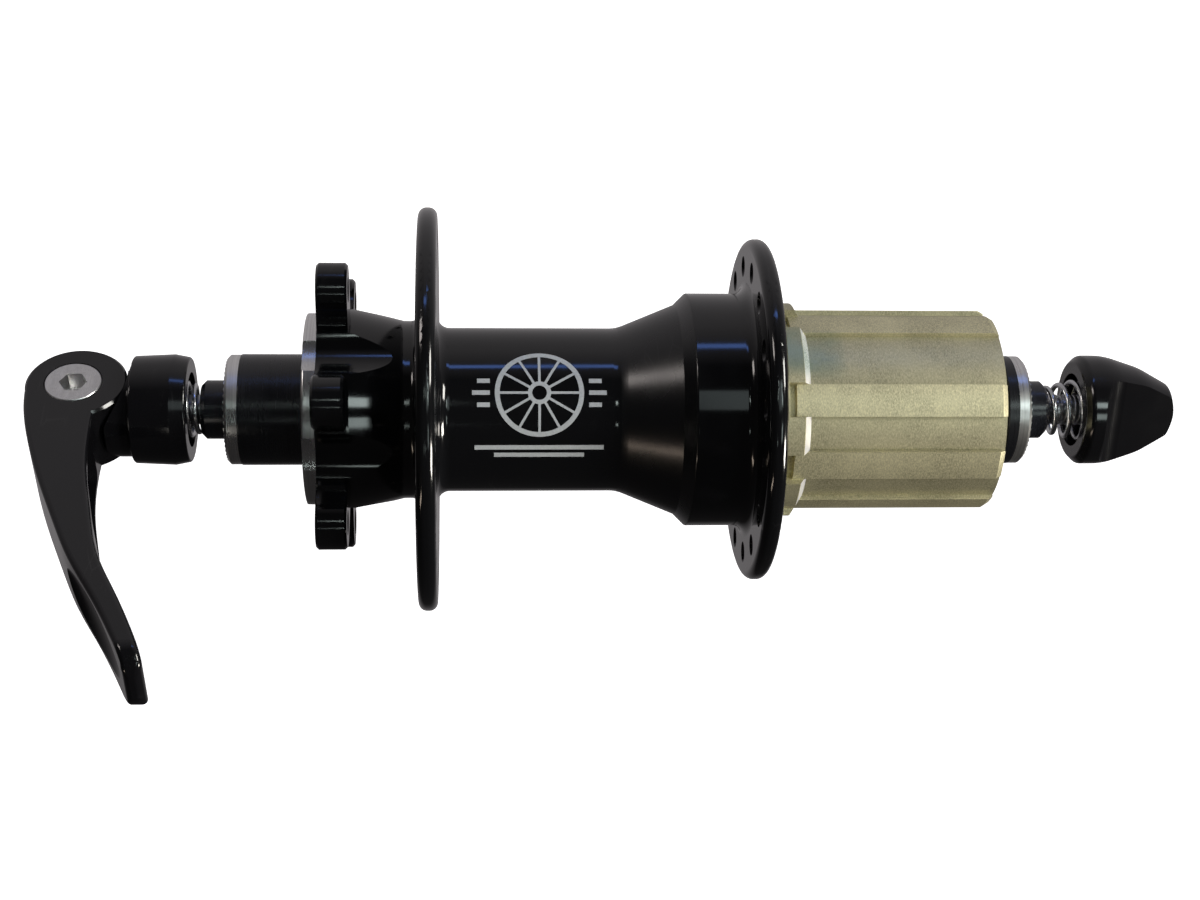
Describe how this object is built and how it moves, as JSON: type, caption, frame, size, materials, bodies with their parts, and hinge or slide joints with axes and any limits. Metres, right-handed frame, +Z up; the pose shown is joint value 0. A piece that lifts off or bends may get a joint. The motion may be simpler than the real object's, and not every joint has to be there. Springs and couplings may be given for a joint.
{
  "type": "bicycle rear hub assembly",
  "caption": "Rear wheel hub with a disc rotor mount, drilled spoke flanges, a splined freehub body on sealed bearings and a quick-release cam skewer.",
  "frame": {"origin": "on the hub axis, midway between the two end faces that bear on the dropouts", "axes": "+X along the hub axis from the brake side to the drive side, +Y forward, +Z up"},
  "size_m": [0.1948, 0.0815, 0.0774],
  "materials": {
    "gloss_black": "gloss black anodised aluminium",
    "black_axle": "satin black anodised aluminium",
    "black_cap": "satin black anodised aluminium",
    "bright_ring": "turned bare aluminium",
    "champagne_alloy": "satin champagne anodised aluminium",
    "seal_rubber": "black rubber",
    "hard_steel": "ground hardened steel",
    "bearing_steel": "polished bearing steel",
    "zinc_steel": "zinc plated steel",
    "spring_steel": "bright zinc plated spring wire",
    "bright_pin": "bright plated steel"
  },
  "bodies": {
    "axle_set": {"axle": "black_axle", "left_end_cap": "black_cap", "left_end_ring": "bright_ring", "drive_spacer": "black_cap", "freehub_spacer": "black_cap", "right_spacer": "black_cap", "right_end_ring": "bright_ring", "left_shell_inner_race": "bearing_steel", "right_shell_inner_race": "bearing_steel", "inner_freehub_inner_race": "bearing_steel", "outer_freehub_inner_race": "bearing_steel", "left_spring": "spring_steel", "right_spring": "spring_steel"},
    "shell": {"hub_shell": "gloss_black", "ratchet_ring": "hard_steel", "left_shell_outer_race": "bearing_steel", "left_shell_seals": "seal_rubber", "right_shell_outer_race": "bearing_steel", "right_shell_seals": "seal_rubber"},
    "freehub": {"freehub_body": "champagne_alloy", "freehub_seal": "seal_rubber", "bearing_circlip": "hard_steel", "pawl_springs": "spring_steel", "inner_freehub_outer_race": "bearing_steel", "inner_freehub_seals": "seal_rubber", "outer_freehub_outer_race": "bearing_steel", "outer_freehub_seals": "seal_rubber"},
    "left_shell_ball_set": {"left_shell_balls": "bearing_steel"},
    "right_shell_ball_set": {"right_shell_balls": "bearing_steel"},
    "inner_freehub_ball_set": {"inner_freehub_balls": "bearing_steel"},
    "outer_freehub_ball_set": {"outer_freehub_balls": "bearing_steel"},
    "pawl_1": {"pawl_1": "hard_steel"},
    "pawl_2": {"pawl_2": "hard_steel"},
    "pawl_3": {"pawl_3": "hard_steel"},
    "skewer": {"skewer_rod": "zinc_steel", "pivot_barrel": "bright_pin"},
    "lever": {"quick_release_lever": "gloss_black"},
    "housing": {"cam_housing": "gloss_black"},
    "nut": {"skewer_nut": "gloss_black", "nut_insert": "zinc_steel"}
  },
  "joints": [
    {"name": "shell_spin", "type": "hinge", "parent": "axle_set", "child": "shell", "pos_m": [0, 0, 0], "axis": [1, 0, 0], "continuous": true},
    {"name": "freehub_spin", "type": "hinge", "parent": "axle_set", "child": "freehub", "pos_m": [0, 0, 0], "axis": [1, 0, 0], "continuous": true},
    {"name": "left_shell_ball_orbit", "type": "hinge", "parent": "axle_set", "child": "left_shell_ball_set", "pos_m": [-0.0503, 0, 0], "axis": [1, 0, 0], "continuous": true},
    {"name": "right_shell_ball_orbit", "type": "hinge", "parent": "axle_set", "child": "right_shell_ball_set", "pos_m": [0.0095, 0, 0], "axis": [1, 0, 0], "continuous": true},
    {"name": "inner_freehub_ball_orbit", "type": "hinge", "parent": "axle_set", "child": "inner_freehub_ball_set", "pos_m": [0.0265, 0, 0], "axis": [1, 0, 0], "continuous": true},
    {"name": "outer_freehub_ball_orbit", "type": "hinge", "parent": "axle_set", "child": "outer_freehub_ball_set", "pos_m": [0.0515, 0, 0], "axis": [1, 0, 0], "continuous": true},
    {"name": "pawl_1_hinge", "type": "hinge", "parent": "freehub", "child": "pawl_1", "pos_m": [0.0182, 0, 0.0132], "axis": [1, 0, 0], "range_deg": [0, 14]},
    {"name": "pawl_2_hinge", "type": "hinge", "parent": "freehub", "child": "pawl_2", "pos_m": [0.0182, -0.01143, -0.0066], "axis": [1, 0, 0], "range_deg": [0, 14]},
    {"name": "pawl_3_hinge", "type": "hinge", "parent": "freehub", "child": "pawl_3", "pos_m": [0.0182, 0.01143, -0.0066], "axis": [1, 0, 0], "range_deg": [0, 14]},
    {"name": "skewer_slide", "type": "slide", "parent": "axle_set", "child": "skewer", "axis": [1, 0, 0], "range_m": [-0.0015, 0.0015], "stiffness_N_per_m": 400, "deforming": ["left_spring", "right_spring"]},
    {"name": "lever_swing", "type": "hinge", "parent": "skewer", "child": "lever", "pos_m": [-0.0926, 0, 0], "axis": [0, 0.6691, -0.7431], "range_deg": [0, 180]},
    {"name": "cam_follow", "type": "slide", "parent": "skewer", "child": "housing", "axis": [1, 0, 0], "range_m": [-0.001, 0]},
    {"name": "nut_turn", "type": "hinge", "parent": "skewer", "child": "nut", "pos_m": [0.0926, 0, 0], "axis": [1, 0, 0], "continuous": true}
  ],
  "couplings": [
    {"joint": "left_shell_ball_orbit", "follows": "shell_spin", "ratio": 0.5816},
    {"joint": "right_shell_ball_orbit", "follows": "shell_spin", "ratio": 0.5816},
    {"joint": "inner_freehub_ball_orbit", "follows": "freehub_spin", "ratio": 0.56},
    {"joint": "outer_freehub_ball_orbit", "follows": "freehub_spin", "ratio": 0.56},
    {"joint": "cam_follow", "follows": "lever_swing", "m_per_rad": -0.00031831}
  ]
}
